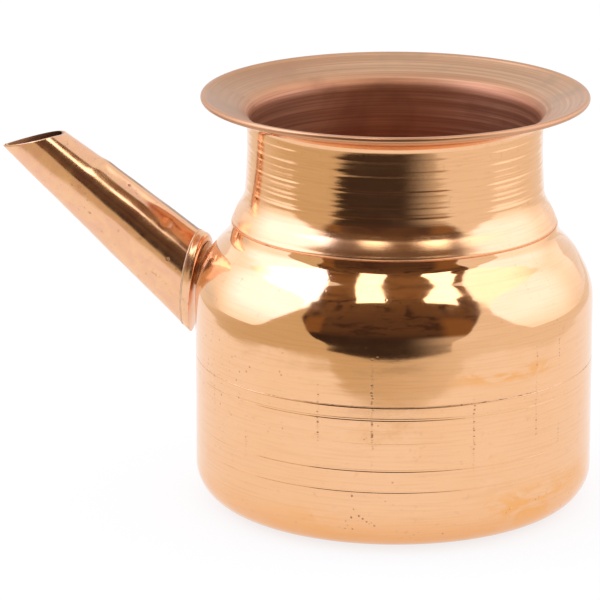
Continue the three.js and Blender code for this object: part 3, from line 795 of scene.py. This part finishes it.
def end_cap():
    """Pressed cap: skirt over the tube, rolled edge, dished plate drawn into the collar hole."""
    n = 144
    phi = np.linspace(0, 2 * math.pi, n, endpoint=False)
    rings = []
    outer = catmull([(0.03, -LAP_SEEN), (0.11, -LAP_SEEN - 0.03), (0.17, -LAP_SEEN + 0.2), (0.22, -LAP_SEEN + 0.5), (0.28, -0.35),
                     (0.36, 0.0), (0.44, 0.35), (0.36, 0.8), (0.10, 1.06), (-0.5, 1.12)], 0.13)
    for d, k in outer:
        rings.append(plane_ring(phi, (d + 0.02 * np.sin(phi * 5 + 1.0) * (d > 0.2)) * (0.62 + 0.38 * np.cos(phi) if d > 0 else 1.0 + 0 * phi), k))
    # plate, morphing from the section outline to the round collar hole
    rim = plane_ring(phi, -0.5, 1.1)
    ang = phi
    hole_dir = np.cos(ang)[:, None] * COLLAR_UP + np.sin(ang)[:, None] * E
    hole_c = COLLAR_AT + COLLAR_D * ((ROOT + ROOT_N * 1.1 - COLLAR_AT) @ ROOT_N / (COLLAR_D @ ROOT_N))
    hole = hole_c + (COLLAR_R + 0.05) * hole_dir
    hole = hole + COLLAR_D * (((ROOT + ROOT_N * 1.15 - hole) @ ROOT_N) / (COLLAR_D @ ROOT_N))[:, None]
    for t in np.linspace(0.12, 1, 10):
        rings.append(rim * (1 - t) + hole * t + ROOT_N * (0.12 * math.sin(math.pi * t)))
    hole_in = hole - ROOT_N * SHEET
    rim_in = plane_ring(phi, -0.5, 0.3)
    for t in np.linspace(1, 0.0, 8):
        rings.append(rim_in * (1 - t) + hole_in * t)
    rings.append(plane_ring(phi, -0.02, 0.25))
    rings.append(plane_ring(phi, -0.02, -LAP_SEEN + 0.1))
    return grid_object("spout_cap", rings, True, True)


cap = end_cap()
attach(cap, "root"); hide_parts("spout_end_cap")
cap_mat = worked_copper("worked_copper_cap", rough=0.16, tarnish=0.4, base=(0.86, 0.50, 0.32), dent=0.3)
set_material(cap, cap_mat)


def cap_bead():
    n = 240
    phi = np.linspace(0, 2 * math.pi, n, endpoint=False)
    arcl = phi * 9.0
    rings = []
    for q in np.linspace(0, 2 * math.pi, 14, endpoint=False):
        dk = -LAP_SEEN - 0.12 + 0.34 * math.cos(q)
        dd = 0.04 + (0.15 + 0.06 * noise1(arcl, 1.6, 81) + 0.04 * noise1(arcl, 0.6, 82)) * math.sin(q) * (1 if math.sin(q) > 0 else 0.2)
        rings.append(plane_ring(phi, dd, dk))
    return grid_object("spout_cap_bead", rings, True, True, sharp=60)


bead = cap_bead()
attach(bead, "root"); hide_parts("spout_cap_braze")
set_material(bead, spout_braze)


def collar_tube():
    n = 96
    a = np.linspace(0, 2 * math.pi, n, endpoint=False)
    d = np.cos(a)[:, None] * COLLAR_UP + np.sin(a)[:, None] * E
    rings = []
    prof = [(COLLAR_R, -3.6), (COLLAR_R, -2.0), (COLLAR_R, 0.0), (COLLAR_R, 2.0), (COLLAR_R, 3.6), (COLLAR_R - 0.15, 4.0),
            (COLLAR_R - SHEET + 0.1, 4.0), (COLLAR_R - SHEET, 3.8), (COLLAR_R - SHEET, 0.0), (COLLAR_R - SHEET, -3.5), (COLLAR_R - 0.4, -3.75)]
    for r, s in prof:
        rings.append(COLLAR_AT + COLLAR_D * s + r * d)
    return grid_object("collar_pipe", rings, True, True)


pipe = collar_tube()
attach(pipe, "root"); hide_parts("spout_collar")
set_material(pipe, cap_mat)


def shoulder_radius(z):
    c = shoulder_curve()
    return np.interp(z, c[:, 1], c[:, 0])


def collar_fillet():
    """Concave braze fillet between the shoulder and the cap, round the collar."""
    n = 160
    a = np.linspace(0, 2 * math.pi, n, endpoint=False)
    d = np.cos(a)[:, None] * COLLAR_UP + np.sin(a)[:, None] * E
    rings = []
    steps = 16
    far = ((ROOT + ROOT_N * 1.15 - (COLLAR_AT + COLLAR_R * d)) @ ROOT_N) / (COLLAR_D @ ROOT_N)
    # near end: where the pipe meets the shoulder
    near = np.full(n, 0.0)
    for _ in range(40):
        p = COLLAR_AT + COLLAR_R * d + COLLAR_D * near[:, None]
        gap = np.hypot(p[:, 0], p[:, 1]) - shoulder_radius(p[:, 2])
        near = near - gap * 0.6
    for i in range(steps + 1):
        t = i / steps
        flare = 1.9 * (abs(2 * t - 1) ** 2.2) + 0.25 + 0.12 * noise1(a * 6.0, 1.3, 91)
        flare = flare * (1.0 if t < 0.5 else 0.75)
        s = near + (far - near) * t
        p = COLLAR_AT + (COLLAR_R + flare)[:, None] * d + COLLAR_D * s[:, None]
        if t < 0.5:                                   # hug the shoulder at the near end
            g = np.hypot(p[:, 0], p[:, 1]) - (shoulder_radius(p[:, 2]) + 0.04 + (far - near) * t)
            p = p - np.stack([p[:, 0] / np.hypot(p[:, 0], p[:, 1]), p[:, 1] / np.hypot(p[:, 0], p[:, 1]), 0 * g], 1) * g[:, None]
        rings.append(p)
    rings.append(COLLAR_AT + (COLLAR_R + 0.02) * d + COLLAR_D * (far - 0.02)[:, None])
    rings.append(COLLAR_AT + (COLLAR_R + 0.02) * d + COLLAR_D * (near - 0.1)[:, None])
    return grid_object("collar_braze_fillet", rings, True, True, sharp=50)


fillet = collar_fillet()
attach(fillet, "root"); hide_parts("collar_braze")
set_material(fillet, spout_braze)


# ---------------------------------------------------------------- camera
turn = math.radians(VIEW_TURN)


def stage_point(x, y, z):
    """Point given in body radii, x to the right of the camera's view, y away from it."""
    x, y, z = x * R * MM, y * R * MM, z * R * MM
    return (x * math.cos(turn) - y * math.sin(turn), x * math.sin(turn) + y * math.cos(turn), z)


cam_data = bpy.data.cameras.new("camera")
cam_data.sensor_width = 36.0
cam_data.lens = 252.53
cam_data.clip_start = 0.05
cam_data.clip_end = 50.0
cam = bpy.data.objects.new("camera", cam_data)
bpy.context.scene.collection.objects.link(cam)
cam.location = stage_point(-0.4734, -20.4226, 6.7579)
cam.rotation_euler = (math.radians(90 - 15.716), 0.0, turn)
bpy.context.scene.camera = cam


# ---------------------------------------------------------------- studio
UNIT = R * MM


def card(name, corners, mat, diffuse=False):
    """Flat card of the light tent, given in body radii; seen only in reflections."""
    me = bpy.data.meshes.new(name)
    me.from_pydata([(a * UNIT, b * UNIT, c * UNIT) for a, b, c in corners], [], [tuple(range(len(corners)))])
    me.update()
    ob = bpy.data.objects.new(name, me)
    ob.rotation_euler = (0.0, 0.0, turn)
    bpy.context.scene.collection.objects.link(ob)
    ob.data.materials.append(mat)
    ob.visible_camera = False
    ob.visible_diffuse = diffuse
    ob.visible_glossy = True
    ob.visible_shadow = False
    ob.visible_transmission = False
    ob.visible_volume_scatter = False
    return ob


def glow(name, build):
    """Emitting card material; build(nodes, x, y, z) gives (colour, strength), in body radii."""
    m = bpy.data.materials.new(name)
    m.use_nodes = True
    nt = m.node_tree
    for n in list(nt.nodes):
        nt.nodes.remove(n)
    out = nt.nodes.new("ShaderNodeOutputMaterial")
    em = nt.nodes.new("ShaderNodeEmission")
    nt.links.new(em.outputs[0], out.inputs["Surface"])
    k = Nodes(nt)
    q = k.mapping(k.coord, (1 / UNIT,) * 3)
    colour, strength = build(k, q, *k.xyz(q))
    for sock, v in ((em.inputs["Color"], colour), (em.inputs["Strength"], strength)):
        if isinstance(v, tuple):
            sock.default_value = (*v, 1.0)
        elif isinstance(v, (int, float)):
            sock.default_value = v
        else:
            k.link(v, sock)
    return m


def floor_material():
    m = bpy.data.materials.new("floor_paper")
    m.use_nodes = True
    b = m.node_tree.nodes["Principled BSDF"]
    b.inputs["Base Color"].default_value = (0.22, 0.22, 0.22, 1.0)
    b.inputs["Roughness"].default_value = 0.95
    b.inputs["Specular IOR Level"].default_value = 0.0
    b.inputs["Emission Color"].default_value = (1.0, 1.0, 1.0, 1.0)
    b.inputs["Emission Strength"].default_value = 0.78
    return m


floor_me = bpy.data.meshes.new("floor")
floor_me.from_pydata([(-4, -4, -0.0001), (4, -4, -0.0001), (4, 4, -0.0001), (-4, 4, -0.0001)], [], [(0, 1, 2, 3)])
floor = bpy.data.objects.new("floor", floor_me)
bpy.context.scene.collection.objects.link(floor)
floor.data.materials.append(floor_material())

WARM_WHITE, COOL_WHITE = (1.0, 0.985, 0.95), (0.86, 0.945, 1.24)


def tent_white(k, s):
    """The strongly lit cloth is cooler than the dim cloth."""
    return k.mix(k.range(s, 1.0, 2.0), WARM_WHITE, COOL_WHITE)


def left_light(k, q, x, y, z):
    s = k.math("MULTIPLY", k.range(z, 0.0, 6.0, 1.35, 2.2), k.range(y, 1.5, 8.0, 1.0, 0.62))
    return tent_white(k, s), s


def right_light(k, q, x, y, z):
    s = k.math("MULTIPLY", k.range(z, 0.0, 5.0, 1.35, 1.8), k.range(y, 1.5, 8.0, 1.0, 0.76))
    return tent_white(k, s), s


def top_light(k, y, front, back):
    s = k.range(y, 0.0, 7.0, front, back)
    return k.mix(k.range(s, 1.4, 3.2), WARM_WHITE, COOL_WHITE), s


def table(k, q, x, y, z):
    """The table beyond the paper: tan in front and to the left, paler to the right."""
    col = k.mix(k.range(x, -2.0, 4.5), TABLE_TAN, TABLE_PALE)
    col = k.mix(k.range(y, -1.0, 6.0), col, (0.90, 0.84, 0.74))
    return col, 1.0


def dark_room(k, q, x, y, z):
    """The tent's opening: the dim room, brown above, darkest low down on the left."""
    col = k.mix(k.range(z, 1.0, 2.8), ROOM_LOW, ROOM_MID)
    col = k.mix(k.range(z, 4.0, 7.0), col, ROOM_HIGH)
    mottle = k.noise(k.mapping(q, (1.0, 1.0, 1.6)), 0.75, 3.0, 0.6, 0.6)
    col = k.mix(k.math("MULTIPLY", k.range(mottle, 0.50, 0.62), k.range(z, 1.2, 2.2)), col, (0.055, 0.032, 0.026))
    right = k.math("MULTIPLY", k.math("MULTIPLY", k.range(x, 2.4, 3.4), k.range(x, 6.6, 5.0)),
                   k.math("MULTIPLY", k.range(z, 0.9, 1.5), k.range(z, 5.4, 4.0)))
    left = k.math("MULTIPLY", k.math("MULTIPLY", k.range(x, -7.9, -7.2), k.range(x, -4.9, -5.6)),
                  k.math("MULTIPLY", k.range(z, 1.6, 2.2), k.range(z, 6.0, 4.4)))
    col = k.mix(k.math("MAXIMUM", right, left), col, (0.235, 0.125, 0.052))
    fade = k.math("MULTIPLY", k.range(x, 0.2, 3.8), k.range(z, 1.9, 0.9))
    col = k.mix(fade, col, (0.62, 0.56, 0.48))
    return col, 1.0


def dark_ceiling(k, q, x, y, z):
    mottle = k.noise(q, 0.6, 2.0, 0.5, 0.4)
    return k.mix(k.range(mottle, 0.40, 0.62), (0.24, 0.140, 0.070), (0.16, 0.090, 0.045)), 1.0


TABLE_TAN, TABLE_PALE = (0.68, 0.59, 0.42), (0.93, 0.90, 0.85)
ROOM_LOW, ROOM_MID, ROOM_HIGH = (0.040, 0.027, 0.022), (0.110, 0.064, 0.040), (0.170, 0.100, 0.055)

light_left = glow("tent_light_left", left_light)
light_right = glow("tent_light_right", right_light)
top_left = glow("tent_top_left", lambda k, q, x, y, z: top_light(k, y, 3.4, 1.1))
top_right = glow("tent_top_right", lambda k, q, x, y, z: top_light(k, y, 1.9, 1.0))
table_card = glow("table_tan", table)
room_card = glow("dark_room", dark_room)
ceiling_card = glow("dark_ceiling", dark_ceiling)
window_card = glow("softbox", lambda k, q, x, y, z: ((1.0, 0.97, 0.90), 2.8))

# lit sides of the tent, with slanting front edges
card("tent_left", [(-10.5, 13, 0.0), (-10.5, -1.0, 0.0), (-10.5, -1.95, 0.8), (-10.5, -4.6, 5.0), (-10.5, -6.4, 8.9),
                   (-8.5, -7.4, 13), (-8.5, 13, 13)], light_left, diffuse=True)
card("tent_right", [(10.5, 13, 0.0), (10.5, -1.8, 0.0), (10.5, -4.4, 2.8), (10.5, -6.6, 6.9), (10.5, -6.9, 9.4),
                    (8.5, -7.6, 13), (8.5, 13, 13)], light_right, diffuse=True)
card("tent_top_left", [(-12, -8.0, 8.25), (-7.6, -6.0, 8.25), (-4.1, -2.2, 8.25), (-2.6, 0.5, 8.25), (-2.6, 12, 8.25), (-12, 12, 8.25)], top_left)
card("tent_top_right", [(12, -8.0, 8.25), (7.6, -6.0, 8.25), (4.1, -2.2, 8.25), (2.6, 0.5, 8.25), (2.6, 12, 8.25), (12, 12, 8.25)], top_right)
# unlit ends of the sides, towards the opening
card("tent_end_left", [(-10.8, -1.0, 0.0), (-10.8, -10, 0.0), (-10.8, -10, 13), (-10.8, -5.0, 13)], table_card)
card("tent_end_right", [(10.8, -1.0, 0.0), (10.8, -10, 0.0), (10.8, -10, 13), (10.8, -5.0, 13)], table_card)
card("tent_end_front", [(-11, -6.2, 0.0), (11, -6.2, 0.0), (11, -6.2, 13), (-11, -6.2, 13)], table_card)
# the table round the paper
card("table_left", [(-15, -3.36, 0.002), (-4.0, -3.36, 0.002), (-4.0, 14, 0.002), (-15, 14, 0.002)], table_card)
card("table_right", [(3.95, -3.36, 0.002), (15, -3.36, 0.002), (15, 14, 0.002), (3.95, 14, 0.002)], table_card)
card("table_front", [(-15, -6.4, 0.002), (15, -6.4, 0.002), (15, -3.36, 0.002), (-15, -3.36, 0.002)], table_card)
card("table_corner_left", [(-4.0, -3.36, 0.002), (-2.3, -3.36, 0.002), (-3.1, -2.75, 0.002), (-3.75, -2.0, 0.002), (-4.0, -1.3, 0.002)], table_card)
card("table_corner_right", [(3.95, -3.36, 0.002), (3.95, -1.3, 0.002), (3.6, -2.3, 0.002), (3.0, -3.0, 0.002), (2.4, -3.36, 0.002)], table_card)
# the dark opening
card("room_front", [(-5.7, -6.0, 0.0), (3.4, -6.0, 0.0), (4.4, -6.0, 1.1), (5.8, -6.0, 3.4), (7.7, -6.0, 6.5), (8.4, -6.0, 9.0),
                    (8.4, -6.0, 13), (-8.6, -6.0, 13), (-8.6, -6.0, 9.0), (-8.7, -6.0, 5.2), (-7.2, -6.0, 2.7)], room_card)
card("room_floor", [(-2.9, -4.05, 0.004), (2.35, -4.35, 0.004), (3.4, -6.0, 0.004), (-5.7, -6.0, 0.004)], room_card)
card("room_top", [(-7.4, -6.0, 8.2), (7.4, -6.0, 8.2), (3.95, -2.0, 8.2), (-3.95, -2.0, 8.2)], ceiling_card)
# two softboxes above and in front
card("softbox_a", [(-3.1, -5.98, 8.1), (-0.75, -5.98, 8.1), (-0.75, -2.0, 8.1), (-2.05, -2.0, 8.1)], window_card)
card("softbox_b", [(2.15, -5.98, 8.1), (5.2, -5.98, 8.1), (5.0, -4.4, 8.1), (3.1, -2.0, 8.1), (2.15, -2.0, 8.1)], window_card)
card("softbox_a_low", [(-3.1, -5.96, 8.1), (-0.75, -5.96, 8.1), (-0.75, -5.96, 6.6), (-2.9, -5.96, 6.6)], window_card)
card("softbox_b_low", [(2.15, -5.96, 8.1), (5.2, -5.96, 8.1), (5.0, -5.96, 6.6), (2.15, -5.96, 6.6)], window_card)

world = bpy.data.worlds.new("studio")
bpy.context.scene.world = world
world.use_nodes = True
bg = world.node_tree.nodes["Background"]
bg.inputs["Color"].default_value = (1.0, 1.0, 1.0, 1.0)
bg.inputs["Strength"].default_value = 0.95

sc = bpy.context.scene
sc.view_settings.view_transform = "Standard"
sc.view_settings.look = "None"
sc.view_settings.exposure = 0.0
sc.view_settings.gamma = 1.0
